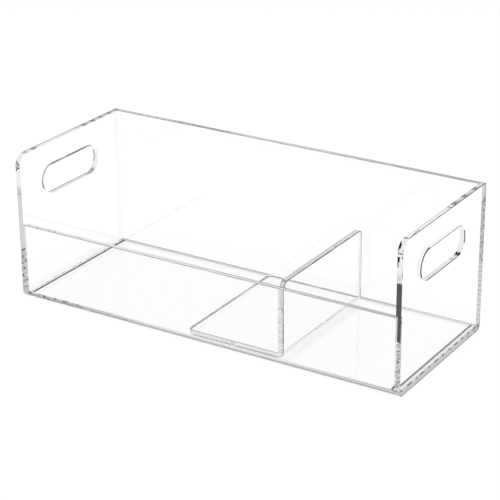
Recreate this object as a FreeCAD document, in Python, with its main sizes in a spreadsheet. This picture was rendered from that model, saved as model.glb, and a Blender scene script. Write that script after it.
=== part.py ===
import FreeCAD, Part
import math
import os

import Sketcher

# A clear desktop rack in cast acrylic sheet: a bent trough, two end panels bonded to it,
# and a loose bookend that slides along the trough's floor.
# Frame: X runs left to right along the trough, the front is at -Y, Z is up.
# The origin is the middle of the underside. Lengths are in millimetres.

SIZES = (
    ("rack_length", 400, "over both end panels"),
    ("rack_depth", 158, "outside of the front wall to outside of the back wall"),
    ("back_height", 142, "height of the back wall and of the end panels"),
    ("front_height", 74, "height of the low front wall"),
    ("trough_sheet", 5, "thickness of the bent sheet"),
    ("panel_sheet", 5, "thickness of an end panel"),
    ("bend_inside", 1, "inner radius of the trough's two bends"),
    ("panel_corner", 10, "radius of an end panel's top front corner"),
    ("handle_width", 84, "hand hole, along Y"),
    ("handle_height", 28, "hand hole, along Z"),
    ("handle_below_top", 37, "from the panel's top edge down to the hand hole's centre"),
    ("handle_forward", 2.5, "from the panel's middle forward to the hand hole's centre"),
    ("bookend_sheet", 5, "thickness of the bookend's bent sheet"),
    ("bookend_height", 73, "height of the bookend's upright"),
    ("bookend_foot", 100, "length of the bookend's foot, over the upright"),
    ("bookend_bend", 1, "inner radius of the bookend's bend"),
    ("bookend_corner", 6, "radius of the bookend's four free corners"),
    ("bookend_place", 84.5, "X of the upright's outer face at rest"),
    ("bookend_back_gap", 8, "from the bookend to the back wall"),
    ("floor_clearance", 0.3, "under the bookend's foot"),
)


class Length:
    """A length known both as an expression of the sheet's sizes and as a number."""

    def __init__(self, text, value):
        self.text = text
        self.value = value

    def __add__(self, other):
        return Length(f"({self.text} + {other.text})", self.value + other.value)

    def __sub__(self, other):
        return Length(f"({self.text} - {other.text})", self.value - other.value)

    def __truediv__(self, number):
        return Length(f"({self.text} / {number})", self.value / number)

    def __neg__(self):
        return Length(f"(-1 * {self.text})", -self.value)


ZERO = Length("0", 0.0)


def make_sheet(doc):
    """Writes the driving sizes to the spreadsheet and returns them as lengths."""
    sheet = doc.addObject("Spreadsheet::Sheet", "Sizes")
    lengths = {}
    for row, (alias, value, meaning) in enumerate(SIZES, start=1):
        sheet.set(f"A{row}", alias)
        sheet.set(f"B{row}", str(value))
        sheet.setAlias(f"B{row}", alias)
        sheet.set(f"C{row}", meaning)
        lengths[alias] = Length(f"Sizes.{alias}", float(value))
    doc.recompute()
    return lengths


def new_body(doc, name):
    """An empty body whose label names the piece and its file."""
    body = doc.addObject("PartDesign::Body", name)
    body.Label = name
    return body


def new_sketch(body, name, role):
    """An empty sketch on the body's own origin plane with that role."""
    sketch = body.newObject("Sketcher::SketchObject", name)
    plane = next(item for item in body.Origin.OriginFeatures if item.Role == role)
    sketch.AttachmentSupport = (plane, [""])
    sketch.MapMode = "FlatFace"
    return sketch


def bind(sketch, constraint, name, length):
    """Adds a sketch constraint under a name and binds it to a length."""
    index = sketch.addConstraint(constraint)
    sketch.renameConstraint(index, name)
    sketch.setExpression(f"Constraints.{name}", length.text)


def hold_point(sketch, geometry, point, along, length, name):
    """Holds a point at a signed distance from the sketch's origin, along X or Y."""
    if length.value == 0.0:
        axis = -1 if along == "Y" else -2
        sketch.addConstraint(Sketcher.Constraint("PointOnObject", geometry, point, axis))
        return
    ends = (-1, 1, geometry, point)
    if length.value < 0.0:
        ends = (geometry, point, -1, 1)
        length = -length
    bind(sketch, Sketcher.Constraint("Distance" + along, *ends, length.value), name, length)


def round_corner(sketch, corner, came, goes, radius, sides, name):
    """An arc tangent to the two sides that meet at a corner, and inside it."""
    centre = corner + (goes - came) * radius.value
    left_turn = came.x * goes.y - came.y * goes.x > 0
    first = -goes if left_turn else came
    start = math.atan2(first.y, first.x)
    circle = Part.Circle(centre, FreeCAD.Vector(0, 0, 1), radius.value)
    bend = sketch.addGeometry(Part.ArcOfCircle(circle, start, start + math.pi / 2), False)
    near, far = (1, 2) if left_turn else (2, 1)
    sketch.addConstraint(Sketcher.Constraint("Tangent", sides[0], 2, bend, near))
    sketch.addConstraint(Sketcher.Constraint("Tangent", sides[1], 1, bend, far))
    bind(sketch, Sketcher.Constraint("Radius", bend, radius.value), name, radius)


def draw_outline(sketch, corners):
    """A closed outline of level and upright sides through corners (x, y, radius or None)."""
    count = len(corners)
    points = [FreeCAD.Vector(x.value, y.value, 0) for x, y, radius in corners]
    radii = [radius.value if radius else 0.0 for x, y, radius in corners]
    ways = [(points[(i + 1) % count] - points[i]).normalize() for i in range(count)]
    sides = []
    for i, way in enumerate(ways):
        after = (i + 1) % count
        start = points[i] + way * radii[i]
        end = points[after] - way * radii[after]
        sides.append(sketch.addGeometry(Part.LineSegment(start, end), False))
    for i, (x, y, radius) in enumerate(corners):
        upright = abs(ways[i].y) > abs(ways[i].x)
        kind = "Vertical" if upright else "Horizontal"
        sketch.addConstraint(Sketcher.Constraint(kind, sides[i]))
        along, length = ("X", x) if upright else ("Y", y)
        hold_point(sketch, sides[i], 1, along, length, f"side_{i}")
        meeting = (sides[i - 1], sides[i])
        if radius:
            round_corner(sketch, points[i], ways[i - 1], ways[i], radius, meeting, f"radius_{i}")
        else:
            sketch.addConstraint(Sketcher.Constraint("Coincident", meeting[0], 2, meeting[1], 1))


def draw_slot(sketch, middle_x, middle_y, width, height):
    """A level slot with full-round ends."""
    radius = height / 2
    reach = (width - height) / 2
    level = middle_y.value
    ends = (middle_x.value - reach.value, middle_x.value + reach.value)
    up = FreeCAD.Vector(0, 0, 1)
    left_circle = Part.Circle(FreeCAD.Vector(ends[0], level, 0), up, radius.value)
    right_circle = Part.Circle(FreeCAD.Vector(ends[1], level, 0), up, radius.value)
    quarter = math.pi / 2
    left = sketch.addGeometry(Part.ArcOfCircle(left_circle, quarter, 3 * quarter), False)
    right = sketch.addGeometry(Part.ArcOfCircle(right_circle, -quarter, quarter), False)
    sides = []
    for sign in (-1, 1):
        height_here = level + sign * radius.value
        start = FreeCAD.Vector(ends[0], height_here, 0)
        end = FreeCAD.Vector(ends[1], height_here, 0)
        sides.append(sketch.addGeometry(Part.LineSegment(start, end), False))
    low, high = sides
    for side, point, arc, arc_point in (
        (low, 1, left, 2), (low, 2, right, 1), (high, 1, left, 1), (high, 2, right, 2)
    ):
        sketch.addConstraint(Sketcher.Constraint("Tangent", side, point, arc, arc_point))
    sketch.addConstraint(Sketcher.Constraint("Horizontal", low))
    sketch.addConstraint(Sketcher.Constraint("Equal", left, right))
    bind(sketch, Sketcher.Constraint("Radius", left, radius.value), "end_radius", radius)
    hold_point(sketch, left, 3, "X", middle_x - reach, "left_centre")
    hold_point(sketch, left, 3, "Y", middle_y, "level")
    spread = reach + reach
    between = Sketcher.Constraint("DistanceX", left, 3, right, 3, spread.value)
    bind(sketch, between, "between_centres", spread)


def pad(body, sketch, thickness, midplane=False):
    """Thickens a sketch along its normal, or both ways from its plane."""
    feature = body.newObject("PartDesign::Pad", sketch.Name + "_pad")
    feature.Profile = sketch
    feature.Midplane = midplane
    feature.setExpression("Length", thickness.text)
    return feature


def make_trough(doc, size):
    """One sheet bent along two lines: low front wall, floor and full-height back wall."""
    body = new_body(doc, "trough")
    outer = size["bend_inside"] + size["trough_sheet"]
    front = -(size["rack_depth"] / 2)
    back = size["rack_depth"] / 2
    front_inner = front + size["trough_sheet"]
    back_inner = back - size["trough_sheet"]
    floor = size["trough_sheet"]
    profile = new_sketch(body, "trough_profile", "YZ_Plane")
    draw_outline(profile, [
        (front, ZERO, outer),
        (back, ZERO, outer),
        (back, size["back_height"], None),
        (back_inner, size["back_height"], None),
        (back_inner, floor, size["bend_inside"]),
        (front_inner, floor, size["bend_inside"]),
        (front_inner, size["front_height"], None),
        (front, size["front_height"], None),
    ])
    between_panels = size["rack_length"] - size["panel_sheet"] - size["panel_sheet"]
    pad(body, profile, between_panels, midplane=True)
    return body


def make_end_panel(doc, size, name, side):
    """A flat panel over one end of the trough, flush with its bends, with a hand hole."""
    body = new_body(doc, name)
    half_depth = size["rack_depth"] / 2
    bend = size["bend_inside"] + size["trough_sheet"]
    outline = new_sketch(body, name + "_outline", "YZ_Plane")
    draw_outline(outline, [
        (-half_depth, ZERO, bend),
        (half_depth, ZERO, bend),
        (half_depth, size["back_height"], None),
        (-half_depth, size["back_height"], size["panel_corner"]),
    ])
    pad(body, outline, size["panel_sheet"])
    hole = new_sketch(body, name + "_hand_hole", "YZ_Plane")
    middle_z = size["back_height"] - size["handle_below_top"]
    draw_slot(hole, -size["handle_forward"], middle_z, size["handle_width"], size["handle_height"])
    cut = body.newObject("PartDesign::Pocket", name + "_cut")
    cut.Profile = hole
    cut.Type = "ThroughAll"
    cut.Reversed = True
    inner_face = size["rack_length"] / 2 - size["panel_sheet"]
    near_face = inner_face if side > 0 else -(size["rack_length"] / 2)
    body.setExpression(".Placement.Base.x", near_face.text)
    return body


def edges_along(shape, way, wanted):
    """Names of the straight edges that run along a direction and whose middle is wanted."""
    names = []
    for number, edge in enumerate(shape.Edges, start=1):
        if not isinstance(edge.Curve, Part.Line):
            continue
        straight = abs(edge.tangentAt(edge.FirstParameter).dot(way)) > 0.999
        if straight and wanted(edge.CenterOfMass):
            names.append(f"Edge{number}")
    return names


def make_bookend(doc, size):
    """An L of bent sheet: an upright, and a foot that points to the left along the floor."""
    body = new_body(doc, "bookend")
    sheet = size["bookend_sheet"]
    outer = size["bookend_bend"] + sheet
    profile = new_sketch(body, "bookend_profile", "XZ_Plane")
    draw_outline(profile, [
        (-size["bookend_foot"], ZERO, None),
        (ZERO, ZERO, outer),
        (ZERO, size["bookend_height"], None),
        (-sheet, size["bookend_height"], None),
        (-sheet, sheet, size["bookend_bend"]),
        (-size["bookend_foot"], sheet, None),
    ])
    half_depth = size["rack_depth"] / 2
    front = -half_depth + size["trough_sheet"] + size["bend_inside"]
    back = half_depth - size["trough_sheet"] - size["bookend_back_gap"]
    blank = pad(body, profile, back - front, midplane=True)
    doc.recompute()
    foot_end = -size["bookend_foot"].value
    upright_top = size["bookend_height"].value
    tiny = 0.001
    up = FreeCAD.Vector(0, 0, 1)
    across = FreeCAD.Vector(1, 0, 0)
    free_corners = edges_along(blank.Shape, up, lambda p: abs(p.x - foot_end) < tiny)
    free_corners += edges_along(blank.Shape, across, lambda p: abs(p.z - upright_top) < tiny)
    rounding = body.newObject("PartDesign::Fillet", "bookend_free_corners")
    rounding.Base = (blank, free_corners)
    rounding.setExpression("Radius", size["bookend_corner"].text)
    body.setExpression(".Placement.Base.x", size["bookend_place"].text)
    body.setExpression(".Placement.Base.y", ((front + back) / 2).text)
    floor_top = size["trough_sheet"] + size["floor_clearance"]
    body.setExpression(".Placement.Base.z", floor_top.text)
    return body


def slot_area(width, height):
    """The area of a slot with full-round ends."""
    return (width - height) * height + math.pi * height ** 2 / 4


def check(doc, pieces, size):
    """Stops if anything failed, or if a hand hole didn't cut through its panel."""
    for item in doc.Objects:
        if "Invalid" in item.State or "Error" in item.State:
            raise RuntimeError(f"{item.Label} failed: {item.State}")
        if item.TypeId == "Sketcher::SketchObject" and not item.FullyConstrained:
            raise RuntimeError(f"{item.Label} isn't fully constrained")
    for piece in pieces:
        shape = piece.Shape
        if shape.isNull() or not shape.isValid() or len(shape.Solids) != 1:
            raise RuntimeError(f"{piece.Label} isn't one valid solid")
        box = shape.BoundBox
        print(piece.Label, f"{shape.Volume:.1f} mm3", f"X {box.XMin:.2f} to {box.XMax:.2f},",
              f"Y {box.YMin:.2f} to {box.YMax:.2f}, Z {box.ZMin:.2f} to {box.ZMax:.2f}")
    hole = slot_area(size["handle_width"].value, size["handle_height"].value)
    for name in ("left_end_panel", "right_end_panel"):
        before = doc.getObject(name + "_outline_pad").Shape.Volume
        after = doc.getObject(name).Shape.Volume
        expected = hole * size["panel_sheet"].value
        if abs(before - after - expected) > 0.01 * expected:
            raise RuntimeError(f"{name}: the hand hole removed {before - after:.1f} mm3")


def main():
    doc = FreeCAD.newDocument("rack")
    size = make_sheet(doc)
    pieces = [
        make_trough(doc, size),
        make_end_panel(doc, size, "left_end_panel", -1),
        make_end_panel(doc, size, "right_end_panel", 1),
        make_bookend(doc, size),
    ]
    doc.recompute()
    check(doc, pieces, size)
    os.makedirs("parts", exist_ok=True)
    for piece in pieces:
        piece.Shape.exportStep(f"parts/{piece.Label}.step")


main()
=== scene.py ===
import math

import bmesh
import bpy
from mathutils import Matrix, Vector


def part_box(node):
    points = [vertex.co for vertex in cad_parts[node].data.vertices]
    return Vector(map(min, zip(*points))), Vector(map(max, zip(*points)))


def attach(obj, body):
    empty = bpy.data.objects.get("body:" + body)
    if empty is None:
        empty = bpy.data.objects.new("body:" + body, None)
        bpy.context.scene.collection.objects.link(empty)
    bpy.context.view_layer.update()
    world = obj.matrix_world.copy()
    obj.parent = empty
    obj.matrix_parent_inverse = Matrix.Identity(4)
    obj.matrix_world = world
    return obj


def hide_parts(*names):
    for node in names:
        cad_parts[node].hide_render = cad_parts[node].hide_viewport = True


# A clear rack of cast acrylic sheet: a trough bent by heat, two end panels bonded to it, and a
# loose bookend. Lengths are in metres. X runs along the trough, the front is at -Y, Z is up.

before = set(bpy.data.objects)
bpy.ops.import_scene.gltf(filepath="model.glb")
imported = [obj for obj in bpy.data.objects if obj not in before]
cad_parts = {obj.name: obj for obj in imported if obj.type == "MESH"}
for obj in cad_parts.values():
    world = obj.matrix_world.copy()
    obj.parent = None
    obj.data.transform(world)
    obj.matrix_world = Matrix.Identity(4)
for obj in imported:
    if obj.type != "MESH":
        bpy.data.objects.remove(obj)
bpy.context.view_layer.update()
scene = bpy.context.scene
MM = 0.001

# Sizes that the solids' boxes don't give, the same as in the model of the frame.
FRONT_HEIGHT = 74 * MM
SHEET = 5 * MM
BEND_INSIDE = 1 * MM
BEND_OUTSIDE = BEND_INSIDE + SHEET
PANEL_CORNER = 10 * MM
HANDLE_WIDTH = 84 * MM
HANDLE_HEIGHT = 28 * MM
HANDLE_STRAIGHT = HANDLE_WIDTH - HANDLE_HEIGHT
HANDLE_BELOW_TOP = 37 * MM
HANDLE_FORWARD = 2.5 * MM
BOOKEND_CORNER = 6 * MM

# The steps of a quarter circle, and how near two lengths are equal and two vertices are one.
ARC_STEPS = 16
NEAR = 0.01 * MM
MERGE = 0.001 * MM
# A direction runs along an axis above the first share of it, and square to it below the second.
# A face square to an axis above the third share is flat, and not part of a bend.
ALONG = 0.99
ACROSS = 0.01
FLAT = 0.999
# The weight at which a big flat face alone settles the shading of its corners.
FLAT_FACES_FIRST = 100

# A flame-polished edge is rounded by a few tenths of a millimetre.
POLISH = 0.35 * MM
POLISH_STEPS = 3
# Turns, in degrees, at which shading breaks: from a flat face to its rim, and at square edges.
RIM_TURN = (10, 20)
SQUARE_TURN = 60
# Two narrow lines run beside a rim, painted dark or grey as a painted reflection and painted
# shade. The second is wider on a panel's outside.
FIRST_LINE = 0.9 * MM
SECOND_LINE = 1.1 * MM
PANEL_LINE = 1.3 * MM
# Lengths below the right panel's top between which the first and the second line beside the inner
# rim of its front edge are painted dark, a painted reflection: round the corner, and further down.
CORNER_PAINTED_DARK = ((1.0 * MM, 8.5 * MM), (2.0 * MM, 6.5 * MM))
FRONT_PAINTED_DARK = ((13.0 * MM, 22.5 * MM), (13.0 * MM, 17.5 * MM))
# The top edge's outer line, painted dark as a painted reflection, is at most this far below the
# top.
TOP_LINE = 1 * MM
# How far from the rim of a hand hole its lines reach on the panel's outside.
HOLE_LINES = 2 * MM
# Degrees round the back end of a hand hole, from level downwards. The hole's wall has a painted
# dark line, a painted reflection, in the first span and all the way past the next value,
# and a blacker painted one in the last on the right.
HOLE_BACK_LINE = (-30, 25)
HOLE_BOTTOM_LINE = 89
HOLE_PAINTED_DARK = (60, 78)
# Millimetres from the back between which saw marks stayed on a panel's top edge.
SAW_MARKS = {
    "left_end_panel": ((2.5, 6), (14, 18), (27, 31), (39, 45), (53, 59), (130, 138)),
    "right_end_panel": ((14, 21.5), (34.5, 42), (54, 62)),
}

# A painted shade line runs along the outside of a bend between these heights.
BEND_SHADE_HEIGHTS = (3.1 * MM, 4.3 * MM)
# An inner bend and its shoulders lie within this distance of its corner.
BEND_REACH = 1.2 * BEND_INSIDE
# Painted shade reaches this far over the floor from a bond, and ends in a painted dark line this
# wide.
BOND_SHADE_REACH = 2.9 * MM
SHADE_END_LINE = 2.3 * MM
# Bubbles show in the floor's bonds, which end just above the floor.
BUBBLES_BELOW = 5.5 * MM
# The trough's ends reach this far into the panels, so that a bond has no air in it.
BOND_OVERLAP = 0.02 * MM

# Places of a piece's materials, in the order of acrylic_finishes.
# Five of these places hold painted light: dark painted reflections on the rims, and painted shade
# in the bends and beside the bonds.
FACE, CUT, RIM, BONDED, GREY_SHADE, FAINT_SHADE, PAINTED_DARK, BEND_SHADE, SAWN = range(9)
ACRYLIC_IOR = 1.49
# The share of the light that passes through the milky film of a bond.
BOND_CLARITY = 0.9
# Places of a colour Mix node's two colours among its inputs, and of its colour among its outputs,
# whose names stand for other kinds of value too.
FROM_COLOUR, TO_COLOUR = 6, 7
MIXED_COLOUR = 2

# The viewpoint that was worked out from the photograph, whose frame is 500 pixels wide.
CAMERA_AT = Vector((0.7906, -1.2545, 0.6983))
CAMERA_AZIMUTH = 32.08
CAMERA_ELEVATION = 23.20
CAMERA_ROLL = -0.43
FOCAL_PIXELS = 1764.25
FRAME_PIXELS = 500
SENSOR_MM = 36

# The studio shows as white, straight or through clear sheet. Light that is trapped in the sheet
# shows it duller: over the first bounces it turns to the colour of the sweep or of the paper, and
# over the later ones to the colour of light that was trapped for long.
SWEEP_COLOUR = "#f4f4f7"
PAPER_COLOUR = "#ececf0"
FIRST_BOUNCES = (1.0, 2.0)
TRAPPED_COLOUR = "#ccccd2"
TRAPPED_BOUNCES = (4.0, 16.0)
# Only light that bounced so often sees the dark sheets on the floor.
DARK_COLOUR = "#3a3b40"
DARK_BOUNCES = (5.0, 6.0)
MOST_BOUNCES = 200
# How strongly the world lights the rack, and how much of the paper's own shade the camera sees.
WORLD_STRENGTH = 0.6
SHADOW_SHARE = 0.045
# The paper's width, and how far it and the dark sheets lie below the rack.
PAPER_WIDTH = 12.0
PAPER_DEPTH = 0.3 * MM
DARK_SHEET_DEPTH = 0.2 * MM
# Two opposite corners of each dark sheet, as X and Y.
DARK_SHEETS = {
    "dark_sheet_right": ((0.2004, -0.6), (1.2, 0.08)),
    "dark_sheet_behind": ((0.14, 0.08), (1.2, 1.2)),
}
# Where each soft lamp stands, how wide and high it is, and its watts.
SOFTBOXES = {
    "softbox_above": ((0.3, -0.2, 1.6), (1.4, 1.4), 28.0),
    "softbox_left": ((-1.3, -0.9, 1.0), (1.0, 1.0), 10.0),
}


def linear(code):
    """A linear RGBA colour from an sRGB hex code."""
    channels = [int(code[i:i + 2], 16) / 255 for i in (1, 3, 5)]
    curve = [c / 12.92 if c <= 0.04045 else ((c + 0.055) / 1.055) ** 2.4 for c in channels]
    return (*curve, 1.0)


def add_node(tree, kind, settings=None, sources=None):
    """Adds a node, sets its properties and sockets, and links its inputs to their sources."""
    node = tree.nodes.new(kind)
    for name, value in (settings or {}).items():
        if isinstance(name, int) or name in node.inputs:
            node.inputs[name].default_value = value
        else:
            setattr(node, name, value)
    for name, source in (sources or {}).items():
        tree.links.new(source, node.inputs[name])
    return node


def empty_material(name):
    """A material whose node tree is still bare."""
    material = bpy.data.materials.new(name)
    material.use_nodes = True
    material.node_tree.nodes.clear()
    return material


def shader_of(material):
    """The node that gives a piece's material its looks."""
    return next(node for node in material.node_tree.nodes if node.type == "BSDF_PRINCIPLED")


def rise_over(span):
    """How a value rises smoothly from 0 to 1 over a span of another."""
    return {"interpolation_type": "SMOOTHSTEP", "From Min": span[0], "From Max": span[1]}


def soft_waves(tree, spacing):
    """Soft waves on a piece, in its own space and so far apart."""
    place = add_node(tree, "ShaderNodeTexCoord")
    waves = add_node(
        tree, "ShaderNodeTexNoise", {"Scale": 1 / spacing, "Detail": 1.0},
        {"Vector": place.outputs["Object"]},
    )
    return waves.outputs[0]


def acrylic(name, colour, spacing, height):
    """Clear cast acrylic, with the spacing and height of the waves that its making left."""
    material = empty_material(name)
    tree = material.node_tree
    bump = add_node(
        tree, "ShaderNodeBump", {"Strength": 1.0, "Distance": height},
        {"Height": soft_waves(tree, spacing)},
    )
    settings = {
        "Base Color": linear(colour),
        "Roughness": 0.0,
        "IOR": ACRYLIC_IOR,
        "Transmission Weight": 1.0,
    }
    shader = add_node(
        tree, "ShaderNodeBsdfPrincipled", settings, {"Normal": bump.outputs["Normal"]})
    add_node(tree, "ShaderNodeOutputMaterial", sources={"Surface": shader.outputs["BSDF"]})
    return material


def polished_rim():
    """A rim that the flame rounded, with a painted reflection: a dark line of varying depth, drawn
    wider than it is.
    """
    pass_length = 26 * MM
    pale_span = (0.44, 0.62)
    material = acrylic("rim_with_painted_dark_reflection", "#808080", 6 * MM, 0.002 * MM)
    tree = material.node_tree
    paleness = add_node(
        tree, "ShaderNodeMapRange", rise_over(pale_span),
        {"Value": soft_waves(tree, pass_length)},
    )
    colour = add_node(
        tree, "ShaderNodeMix",
        {"data_type": "RGBA", FROM_COLOUR: linear("#141518"), TO_COLOUR: linear("#5a5d64")},
        {"Factor": paleness.outputs["Result"]},
    )
    tree.links.new(colour.outputs[MIXED_COLOUR], shader_of(material).inputs["Base Color"])
    return material


def solvent_bond():
    """Solvent-welded acrylic: a little milky, with a row of long, flat, dark bubbles."""
    bubble_pitch = 13 * MM
    wander_spacing = 9 * MM
    wander_turns = 9.0
    bubble_ends = (-0.1, 0.5)
    bubble_foot = (2.8 * MM, 3.2 * MM)
    material = acrylic("solvent_bond", "#e9e9f2", 6 * MM, 0.002 * MM)
    tree = material.node_tree
    place = add_node(tree, "ShaderNodeTexCoord")
    parts = add_node(
        tree, "ShaderNodeSeparateXYZ", sources={"Vector": place.outputs["Object"]})
    even = add_node(
        tree, "ShaderNodeMath", {"operation": "MULTIPLY", 1: math.tau / bubble_pitch},
        {0: parts.outputs["Y"]},
    )
    uneven = add_node(
        tree, "ShaderNodeMath", {"operation": "MULTIPLY_ADD", 1: wander_turns},
        {0: soft_waves(tree, wander_spacing), 2: even.outputs[0]},
    )
    wave = add_node(tree, "ShaderNodeMath", {"operation": "SINE"}, {0: uneven.outputs[0]})
    lengths = add_node(
        tree, "ShaderNodeMapRange", rise_over(bubble_ends), {"Value": wave.outputs[0]})
    heights = add_node(
        tree, "ShaderNodeMapRange", rise_over(bubble_foot), {"Value": parts.outputs["Z"]})
    bubbles = add_node(
        tree, "ShaderNodeMath", {"operation": "MULTIPLY"},
        {0: lengths.outputs["Result"], 1: heights.outputs["Result"]},
    )
    colour = add_node(
        tree, "ShaderNodeMix",
        {"data_type": "RGBA", FROM_COLOUR: linear("#f6f6fa"), TO_COLOUR: linear("#0c0d10")},
        {"Factor": bubbles.outputs[0]},
    )
    shader = shader_of(material)
    shader.inputs["Transmission Weight"].default_value = BOND_CLARITY
    tree.links.new(colour.outputs[MIXED_COLOUR], shader.inputs["Base Color"])
    return material


def painted_dark_line():
    """A painted dark line, dull black and passing no light: a painted reflection on rims, painted
    shade beside the bonds.
    """
    material = acrylic("painted_dark_line", "#060607", 9 * MM, 0.002 * MM)
    shader = shader_of(material)
    shader.inputs["Transmission Weight"].default_value = 0.0
    shader.inputs["Specular IOR Level"].default_value = 0.1
    shader.inputs["Roughness"].default_value = 0.4
    return material


def acrylic_finishes():
    """One material for each finish of the sheet, in the order of the places named above."""
    return [
        # Cast between glass plates: clear and flat, with a waviness that hardly shows.
        acrylic("cast_acrylic_face", "#ffffff", 60 * MM, 0.002 * MM),
        # Sawn, then melted smooth by a flame: as clear as a face, with a finer ripple.
        acrylic("flame_polished_edge", "#ffffff", 12 * MM, 0.004 * MM),
        # A polished rim with a painted dark reflection.
        polished_rim(),
        solvent_bond(),
        # Painted grey shade: what shows through it is grey, under the back bend, at the panels'
        # backs and in the bookend's bend.
        acrylic("grey_painted_shade", "#aaabb0", 12 * MM, 0.004 * MM),
        # Faint painted shade, a little darker than a face: in the inner bends, and on the floor
        # beside the bonds.
        acrylic("faint_painted_shade", "#e0e0e5", 9 * MM, 0.006 * MM),
        # Painted dark reflections on the rims, and a painted shade line beside the bonds.
        painted_dark_line(),
        # Painted shade: a dark line along the outside of a bend.
        acrylic("painted_bend_line", "#6a6b70", 12 * MM, 0.002 * MM),
        # Left rough by the saw where the flame missed it: a dark grey patch.
        acrylic("saw_marked_edge", "#505258", 12 * MM, 0.004 * MM),
    ]


def near(value, target):
    """Whether two lengths are equal."""
    return abs(value - target) < NEAR


def inside(value, span):
    """Whether a value lies between two others."""
    return span[0] < value < span[1]


def along(share):
    """Whether a direction with this share of an axis runs along it."""
    return abs(share) > ALONG


def across(share):
    """Whether a direction with this share of an axis is square to it."""
    return abs(share) < ACROSS


def faces_of(bm, material):
    """The faces that have a finish."""
    return [face for face in bm.faces if face.material_index == material]


def outline_face(bm, corners):
    """A flat face through its corners."""
    return bm.faces.new([bm.verts.new(corner) for corner in corners])


def thicken(bm, faces, way):
    """Gives flat faces a thickness, and keeps the first faces as the near side."""
    result = bmesh.ops.extrude_face_region(bm, geom=faces, use_keep_orig=True)
    moved = [item for item in result["geom"] if isinstance(item, bmesh.types.BMVert)]
    bmesh.ops.translate(bm, verts=moved, vec=way)


def round_edges(bm, radius, wanted):
    """Rounds the edges whose middle and direction are wanted."""
    edges = []
    for edge in bm.edges:
        first, second = (vert.co for vert in edge.verts)
        if wanted((first + second) / 2, (second - first).normalized()):
            edges.append(edge)
    bmesh.ops.bevel(
        bm, geom=edges, offset=radius, offset_type="OFFSET", affect="EDGES",
        segments=ARC_STEPS, profile=0.5, material=-1, clamp_overlap=True,
    )


def round_corner(bm, y, z, radius):
    """Rounds one corner of a flat outline."""
    corner = next(vert for vert in bm.verts if near(vert.co.y, y) and near(vert.co.z, z))
    bmesh.ops.bevel(
        bm, geom=[corner], offset=radius, offset_type="OFFSET", affect="VERTICES",
        segments=ARC_STEPS, profile=0.5, material=-1,
    )


def polish(bm, keep_sharp=lambda middle: False):
    """Rounds each sharp rim a little, as flame polishing does."""
    edges = []
    for edge in bm.edges:
        middle = (edge.verts[0].co + edge.verts[1].co) / 2
        square = edge.is_manifold and edge.calc_face_angle() > math.radians(SQUARE_TURN)
        if square and not keep_sharp(middle):
            edges.append(edge)
    bmesh.ops.bevel(
        bm, geom=edges, offset=POLISH, offset_type="OFFSET", affect="EDGES",
        segments=POLISH_STEPS, profile=0.5, material=RIM, clamp_overlap=True,
    )


def cut_all(bm, point, way):
    """Cuts every face along the plane through a point and square to a direction."""
    bmesh.ops.bisect_plane(
        bm, geom=bm.verts[:] + bm.edges[:] + bm.faces[:], dist=MERGE,
        plane_co=point, plane_no=way,
    )


def cut_faces(bm, faces, way, places):
    """Cuts flat faces, and nothing beside them, across a direction at some places."""
    for place in places:
        edges = dict.fromkeys(edge for face in faces for edge in face.edges)
        verts = dict.fromkeys(vert for edge in edges for vert in edge.verts)
        cut = bmesh.ops.bisect_plane(
            bm, geom=[*faces, *edges, *verts], dist=MERGE, plane_co=place * way, plane_no=way)
        faces = [item for item in cut["geom"] if isinstance(item, bmesh.types.BMFace)]


def line_the_rims(bm, region, second_line, finish_of):
    """Cuts two narrow lines along the rims of some faces, and gives each part its finish."""
    for is_second, width in enumerate((FIRST_LINE, second_line)):
        lines = bmesh.ops.inset_region(
            bm, faces=region, thickness=width, depth=0.0, use_boundary=True,
            use_even_offset=True,
        )
        for face in lines["faces"]:
            place = face.calc_center_median()
            face.material_index = finish_of(place, face.material_index, is_second)


def mark(bm, material, wanted):
    """Gives the wanted faces, where they have no finish of their own yet, a finish."""
    for face in faces_of(bm, FACE):
        if wanted(face):
            face.material_index = material


def is_inner_bend(face, axis, corner, height):
    """Whether a face is part of the tight side of a bend, whose corner has a place on an axis."""
    middle = face.calc_center_median()
    flat = max(abs(share) for share in face.normal) > FLAT
    beside_corner = abs(getattr(middle, axis) - corner) < BEND_REACH
    return not flat and beside_corner and abs(middle.z - height) < BEND_REACH


def finish_piece(name, bm, body, materials):
    """Turns a bmesh into a piece that stands for the node of the same name."""
    bmesh.ops.remove_doubles(bm, verts=bm.verts, dist=MERGE)
    bmesh.ops.recalc_face_normals(bm, faces=bm.faces)
    for face in bm.faces:
        face.smooth = True
    for edge in bm.edges:
        turn = math.degrees(edge.calc_face_angle(0))
        edge.smooth = not inside(turn, RIM_TURN) and turn < SQUARE_TURN
    mesh = bpy.data.meshes.new(name + "_clear")
    bm.to_mesh(mesh)
    bm.free()
    piece = bpy.data.objects.new(name + "_clear", mesh)
    scene.collection.objects.link(piece)
    for material in materials:
        piece.data.materials.append(material)
    weighted = piece.modifiers.new("flat_faces_stay_flat", "WEIGHTED_NORMAL")
    weighted.mode = "FACE_AREA"
    weighted.weight = FLAT_FACES_FIRST
    weighted.keep_sharp = True
    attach(piece, body)
    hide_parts(name)


def mark_outer_bends(bm, low):
    """Marks a painted shade line on both outer bends, and painted grey shade on the back one's
    lower side.
    """
    for face in bm.faces:
        middle = face.calc_center_median()
        height = middle.z - low.z
        if not inside(-face.normal.z, (ACROSS, ALONG)):
            continue
        if inside(height, BEND_SHADE_HEIGHTS):
            face.material_index = BEND_SHADE
        elif middle.y > 0 and height < BEND_SHADE_HEIGHTS[0]:
            face.material_index = GREY_SHADE


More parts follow.
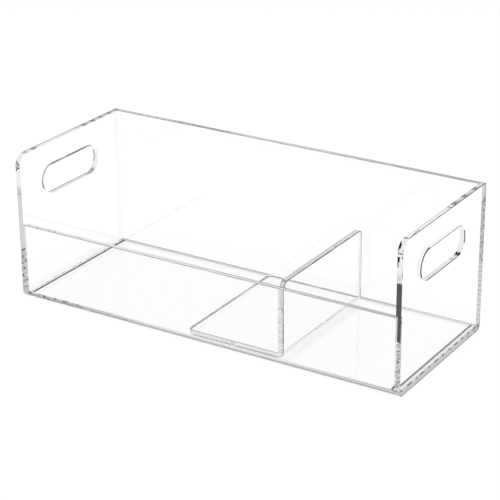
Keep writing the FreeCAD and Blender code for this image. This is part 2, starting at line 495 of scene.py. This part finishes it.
def mark_shade_beside_bonds(bm, low, high):
    """Marks painted shade over the floor beside the bonds, and the painted dark line at its edge.
    """
    for outward, end in ((-1, low.x), (1, high.x)):
        for inwards in (BOND_SHADE_REACH, BOND_SHADE_REACH + SHADE_END_LINE):
            cut_all(bm, (end - outward * inwards, 0, 0), (1, 0, 0))
    for face in bm.faces:
        middle = face.calc_center_median()
        inwards = min(middle.x - low.x, high.x - middle.x)
        on_floor = face.normal.z > ALONG and near(middle.z, low.z + SHEET)
        if on_floor and inwards < BOND_SHADE_REACH:
            face.material_index = FAINT_SHADE
        elif on_floor and inwards < BOND_SHADE_REACH + SHADE_END_LINE:
            face.material_index = PAINTED_DARK


def mark_bonds(bm, low):
    """Marks the bonded ends of the trough, which have bubbles up to the top of the floor."""
    bubbles_top = low.z + BUBBLES_BELOW
    cut_all(bm, (0, 0, bubbles_top), (0, 0, 1))
    for face in bm.faces:
        if along(face.normal.x):
            bubbly = face.calc_center_median().z < bubbles_top
            face.material_index = BONDED if bubbly else FACE


def make_trough(materials):
    """One bent sheet: the low front wall, the floor and the full-height back wall."""
    low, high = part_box("trough")
    left, right = low.x - BOND_OVERLAP, high.x + BOND_OVERLAP
    floor_top = low.z + SHEET
    front_top = low.z + FRONT_HEIGHT
    front_inside, back_inside = low.y + SHEET, high.y - SHEET
    profile = [
        (low.y, low.z), (high.y, low.z), (high.y, high.z), (back_inside, high.z),
        (back_inside, floor_top), (front_inside, floor_top),
        (front_inside, front_top), (low.y, front_top),
    ]
    bm = bmesh.new()
    face = outline_face(bm, [(left, y, z) for y, z in profile])
    thicken(bm, [face], (right - left, 0, 0))
    round_edges(bm, BEND_OUTSIDE, lambda p, way: along(way.x) and near(p.z, low.z))
    round_edges(bm, BEND_INSIDE, lambda p, way: along(way.x) and near(p.z, floor_top))
    polish(bm, keep_sharp=lambda p: near(p.x, left) or near(p.x, right))

    def is_wall_top(face):
        return face.normal.z > ALONG and face.calc_center_median().z > floor_top + SHEET

    mark(bm, CUT, is_wall_top)
    # The inner bends get faint painted shade.
    for corner in (front_inside, back_inside):
        mark(bm, FAINT_SHADE, lambda face: is_inner_bend(face, "y", corner, floor_top))
    mark_outer_bends(bm, low)
    mark_shade_beside_bonds(bm, low, high)
    mark_bonds(bm, low)
    finish_piece("trough", bm, "rack", materials)


def hand_hole_loop(bm, x, middle_y, middle_z):
    """The edges of a slot with full-round ends, in the plane of one face."""
    radius = HANDLE_HEIGHT / 2
    ends = []
    for sign in (1, -1):
        end_y = middle_y + sign * HANDLE_STRAIGHT / 2
        start = bm.verts.new((x, end_y, middle_z - sign * radius))
        spun = bmesh.ops.spin(
            bm, geom=[start], cent=(x, end_y, middle_z), axis=(1, 0, 0), angle=math.pi,
            steps=2 * ARC_STEPS,
        )
        last = next(item for item in spun["geom_last"] if isinstance(item, bmesh.types.BMVert))
        ends.append((start, last))
    bm.edges.new((ends[0][1], ends[1][0]))
    bm.edges.new((ends[1][1], ends[0][0]))


def panel_blank(low, high, hole_y, hole_z):
    """A panel as it is sawn: its round corners and its hand hole, with every rim still sharp."""
    bm = bmesh.new()
    corners = [(low.y, low.z), (high.y, low.z), (high.y, high.z), (low.y, high.z)]
    outline_face(bm, [(low.x, y, z) for y, z in corners])
    round_corner(bm, low.y, low.z, BEND_OUTSIDE)
    round_corner(bm, high.y, low.z, BEND_OUTSIDE)
    round_corner(bm, low.y, high.z, PANEL_CORNER)
    bmesh.ops.delete(bm, geom=list(bm.faces), context="FACES_ONLY")
    hand_hole_loop(bm, low.x, hole_y, hole_z)
    bmesh.ops.triangle_fill(bm, use_beauty=True, use_dissolve=False, edges=bm.edges)
    thicken(bm, list(bm.faces), (high.x - low.x, 0, 0))
    bmesh.ops.recalc_face_normals(bm, faces=bm.faces)
    return bm


def make_end_panel(name, materials):
    """A flat panel on an end of the trough, with its polished edges and the marks on them."""
    low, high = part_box(name)
    is_right = low.x > 0
    outward = 1 if is_right else -1
    middle_x = (low.x + high.x) / 2
    hole_y = (low.y + high.y) / 2 - HANDLE_FORWARD
    hole_z = high.z - HANDLE_BELOW_TOP
    bm = panel_blank(low, high, hole_y, hole_z)
    polish(bm)
    mark(bm, CUT, lambda face: across(face.normal.x))
    front = [face for face in faces_of(bm, CUT) if near(face.calc_center_median().y, low.y)]
    belows = sorted({below for span in FRONT_PAINTED_DARK for below in span})
    cut_faces(bm, front, Vector((0, 0, 1)), [high.z - below for below in belows])
    top = [face for face in faces_of(bm, CUT) if near(face.calc_center_median().z, high.z)]
    behinds = [behind * MM for span in SAW_MARKS[name] for behind in span]
    cut_faces(bm, top, Vector((0, 1, 0)), [high.y - behind for behind in behinds])

    def edge_line(p, before, is_second):
        """The finish of a line on the cut edges, painted dark in places as a painted reflection.
        """
        from_front, below = p.y - low.y, high.z - p.z
        on_outside = (p.x - middle_x) * outward > 0
        in_hole = abs(p.y - hole_y) < HANDLE_WIDTH / 2 and abs(p.z - hole_z) < HANDLE_HEIGHT
        turn = math.degrees(math.atan2(hole_z - p.z, p.y - hole_y - HANDLE_STRAIGHT / 2))
        if is_right and in_hole and inside(turn, HOLE_PAINTED_DARK) and (is_second or on_outside):
            return PAINTED_DARK
        if on_outside:
            on_wall = in_hole and (inside(turn, HOLE_BACK_LINE) or turn > HOLE_BOTTOM_LINE)
            on_top = below < TOP_LINE and from_front > PANEL_CORNER
            return PAINTED_DARK if not is_second and (on_wall or on_top) else before
        if not is_right or in_hole or from_front > PANEL_CORNER:
            return before
        spans = (CORNER_PAINTED_DARK[is_second], FRONT_PAINTED_DARK[is_second])
        return PAINTED_DARK if any(inside(below, span) for span in spans) else before

    def outside_line(p, before, is_second):
        """The finish of a line on the outside: painted dark round the hole and below, painted grey
        shade at the back.
        """
        forward, up = hole_y - p.y, p.z - hole_z
        past_hole = max(abs(forward) - HANDLE_WIDTH / 2, abs(up) - HANDLE_HEIGHT / 2)
        if past_hole < HOLE_LINES:
            at_front_end = forward > HANDLE_STRAIGHT / 2 and up > -HANDLE_HEIGHT / 4
            if is_right and at_front_end:
                return PAINTED_DARK
            on_top = up > 0 and abs(forward) < HANDLE_WIDTH / 2 - HANDLE_HEIGHT / 4
            return RIM if not is_second and (at_front_end or on_top) else before
        if is_second:
            return before
        if p.z - low.z < BEND_OUTSIDE:
            return RIM
        return GREY_SHADE if high.y - p.y < BEND_OUTSIDE else before

    line_the_rims(bm, faces_of(bm, CUT), SECOND_LINE, edge_line)
    for face in faces_of(bm, CUT):
        middle = face.calc_center_median()
        behind = (high.y - middle.y) / MM
        if near(middle.z, high.z) and any(inside(behind, span) for span in SAW_MARKS[name]):
            face.material_index = SAWN
    outside = [face for face in bm.faces if face.normal.x * outward > ALONG]
    line_the_rims(bm, outside, PANEL_LINE, outside_line)
    finish_piece(name, bm, "rack", materials)


def make_bookend(materials):
    """A loose L of bent sheet: a foot that lies on the floor, and an upright."""
    low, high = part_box("bookend")
    foot_top = low.z + SHEET
    upright_inside = high.x - SHEET
    profile = [
        (low.x, low.z), (high.x, low.z), (high.x, high.z), (upright_inside, high.z),
        (upright_inside, foot_top), (low.x, foot_top),
    ]
    bm = bmesh.new()
    face = outline_face(bm, [(x, low.y, z) for x, z in profile])
    thicken(bm, [face], (0, high.y - low.y, 0))

    def on_outer_bend(p, way):
        return along(way.y) and near(p.z, low.z) and near(p.x, high.x)

    def on_inner_bend(p, way):
        return along(way.y) and near(p.z, foot_top) and near(p.x, upright_inside)

    round_edges(bm, BEND_OUTSIDE, on_outer_bend)
    round_edges(bm, BEND_INSIDE, on_inner_bend)
    round_edges(bm, BOOKEND_CORNER, lambda p, way: along(way.z) and near(p.x, low.x))
    round_edges(bm, BOOKEND_CORNER, lambda p, way: along(way.x) and near(p.z, high.z))
    bmesh.ops.recalc_face_normals(bm, faces=bm.faces)
    polish(bm)
    corner_reach = 1.5 * BOOKEND_CORNER

    def is_cut(face):
        middle = face.calc_center_median()
        at_side = min(middle.y - low.y, high.y - middle.y) < NEAR
        at_toe = middle.x - low.x < corner_reach and across(face.normal.z)
        at_top = high.z - middle.z < corner_reach and across(face.normal.x)
        return at_side or at_toe or at_top

    mark(bm, CUT, is_cut)
    outside = [
        face for face in faces_of(bm, FACE)
        if face.normal.x > -ACROSS and face.normal.z < ACROSS
    ]
    # The outside's rims get painted dark reflections.
    line_the_rims(
        bm, outside, SECOND_LINE, lambda p, before, is_second: before if is_second else RIM)
    # The inner bend gets painted grey shade.
    mark(bm, GREY_SHADE, lambda face: is_inner_bend(face, "x", upright_inside, foot_top))
    finish_piece("bookend", bm, "bookend", materials)


def place_camera():
    """The photograph's viewpoint, as an azimuth, an elevation and a small roll."""
    a = math.radians(CAMERA_AZIMUTH)
    e = math.radians(CAMERA_ELEVATION)
    right = Vector((math.cos(a), math.sin(a), 0))
    ahead = Vector((-math.sin(a) * math.cos(e), math.cos(a) * math.cos(e), -math.sin(e)))
    up = right.cross(ahead)
    turn = Matrix.Rotation(math.radians(CAMERA_ROLL), 3, -ahead)
    axes = Matrix((turn @ right, turn @ up, -ahead)).transposed()
    data = bpy.data.cameras.new("camera")
    data.sensor_width = SENSOR_MM
    data.lens = FOCAL_PIXELS * SENSOR_MM / FRAME_PIXELS
    camera = bpy.data.objects.new("camera", data)
    camera.matrix_world = Matrix.Translation(CAMERA_AT) @ axes.to_4x4()
    scene.collection.objects.link(camera)
    scene.camera = camera


def trapped(tree, bounces):
    """From 0 to 1 for light that has bounced about inside the sheet, over a span of bounces."""
    path = add_node(tree, "ShaderNodeLightPath")
    share = add_node(
        tree, "ShaderNodeMapRange", rise_over(bounces), {"Value": path.outputs["Glossy Depth"]})
    return share.outputs["Result"]


def seen_colour(tree, duller):
    """White for what shows straight or through clear sheet, and duller for trapped light."""
    first = add_node(
        tree, "ShaderNodeMix",
        {"data_type": "RGBA", FROM_COLOUR: linear("#ffffff"), TO_COLOUR: linear(duller)},
        {"Factor": trapped(tree, FIRST_BOUNCES)},
    )
    later = add_node(
        tree, "ShaderNodeMix", {"data_type": "RGBA", TO_COLOUR: linear(TRAPPED_COLOUR)},
        {"Factor": trapped(tree, TRAPPED_BOUNCES), FROM_COLOUR: first.outputs[MIXED_COLOUR]},
    )
    return later.outputs[MIXED_COLOUR]


def seen_or_not(tree, seen, unseen):
    """One shader for rays from the camera, a mirror or clear sheet, and another for the rest."""
    path = add_node(tree, "ShaderNodeLightPath")
    is_seen = path.outputs["Is Camera Ray"]
    for kind in ("Is Glossy Ray", "Is Transmission Ray"):
        either = add_node(
            tree, "ShaderNodeMath", {"operation": "MAXIMUM"}, {0: is_seen, 1: path.outputs[kind]})
        is_seen = either.outputs[0]
    picked = add_node(tree, "ShaderNodeMixShader", sources={0: is_seen, 1: unseen, 2: seen})
    return picked.outputs[0]


def make_world():
    """The pale sweep all round, and the light that it gives."""
    world = bpy.data.worlds.new("studio")
    scene.world = world
    world.use_nodes = True
    tree = world.node_tree
    tree.nodes.clear()
    seen = add_node(
        tree, "ShaderNodeBackground", {"Strength": 1.0},
        {"Color": seen_colour(tree, SWEEP_COLOUR)},
    )
    unseen = add_node(
        tree, "ShaderNodeBackground", {"Color": linear("#ffffff"), "Strength": WORLD_STRENGTH})
    picked = seen_or_not(tree, seen.outputs[0], unseen.outputs[0])
    add_node(tree, "ShaderNodeOutputWorld", sources={"Surface": picked})


def stage_sheet(name, place, width, depth, material):
    """A flat sheet of the studio, made a metre wide and stretched round its place."""
    bm = bmesh.new()
    bmesh.ops.create_grid(bm, x_segments=1, y_segments=1, size=0.5)
    mesh = bpy.data.meshes.new(name)
    bm.to_mesh(mesh)
    bm.free()
    sheet = bpy.data.objects.new(name, mesh)
    sheet.matrix_world = Matrix.Translation(place) @ Matrix.Diagonal((width, depth, 1, 1))
    scene.collection.objects.link(sheet)
    sheet.data.materials.append(material)
    return sheet


def make_floor():
    """Matt white paper, which shows as white and keeps a faint shadow of the rack."""
    material = empty_material("white_paper")
    tree = material.node_tree
    glow = add_node(
        tree, "ShaderNodeEmission", {"Strength": 1.0},
        {"Color": seen_colour(tree, PAPER_COLOUR)},
    )
    paper = add_node(tree, "ShaderNodeBsdfDiffuse", {"Color": linear("#f4f4f4")})
    shaded = add_node(
        tree, "ShaderNodeMixShader", {0: SHADOW_SHARE},
        {1: glow.outputs[0], 2: paper.outputs[0]},
    )
    picked = seen_or_not(tree, shaded.outputs[0], paper.outputs[0])
    add_node(tree, "ShaderNodeOutputMaterial", sources={"Surface": picked})
    stage_sheet("studio_floor", (0, 0, -PAPER_DEPTH), PAPER_WIDTH, PAPER_WIDTH, material)


def make_dark_sheet(name, low, high):
    """A dark sheet on the floor beside the rack, which only deeply trapped light sees: it paints
    dark reflections into the edges.
    """
    material = empty_material(name)
    tree = material.node_tree
    dark = add_node(tree, "ShaderNodeEmission", {"Color": linear(DARK_COLOUR)})
    nothing = add_node(tree, "ShaderNodeBsdfTransparent")
    picked = add_node(
        tree, "ShaderNodeMixShader",
        sources={0: trapped(tree, DARK_BOUNCES), 1: nothing.outputs[0], 2: dark.outputs[0]},
    )
    add_node(tree, "ShaderNodeOutputMaterial", sources={"Surface": picked.outputs[0]})
    middle = ((low[0] + high[0]) / 2, (low[1] + high[1]) / 2, -DARK_SHEET_DEPTH)
    sheet = stage_sheet(name, middle, high[0] - low[0], high[1] - low[1], material)
    sheet.visible_camera = False
    sheet.visible_diffuse = False
    sheet.visible_shadow = False


def add_softbox(name, place, size, watts):
    """A soft lamp that faces the rack."""
    data = bpy.data.lights.new(name, "AREA")
    data.shape = "RECTANGLE"
    data.size, data.size_y = size
    data.energy = watts
    lamp = bpy.data.objects.new(name, data)
    lamp.location = place
    lamp.rotation_euler = Vector(place).to_track_quat("Z", "Y").to_euler()
    lamp.visible_glossy = False
    lamp.visible_transmission = False
    scene.collection.objects.link(lamp)


finishes = acrylic_finishes()
make_trough(finishes)
make_end_panel("left_end_panel", finishes)
make_end_panel("right_end_panel", finishes)
make_bookend(finishes)
place_camera()
make_world()
make_floor()
for lamp_name, (lamp_place, lamp_size, lamp_watts) in SOFTBOXES.items():
    add_softbox(lamp_name, lamp_place, lamp_size, lamp_watts)
for sheet_name, (first_corner, second_corner) in DARK_SHEETS.items():
    make_dark_sheet(sheet_name, first_corner, second_corner)

scene.view_settings.view_transform = "Standard"
scene.cycles.max_bounces = MOST_BOUNCES
scene.cycles.glossy_bounces = MOST_BOUNCES
scene.cycles.transmission_bounces = MOST_BOUNCES
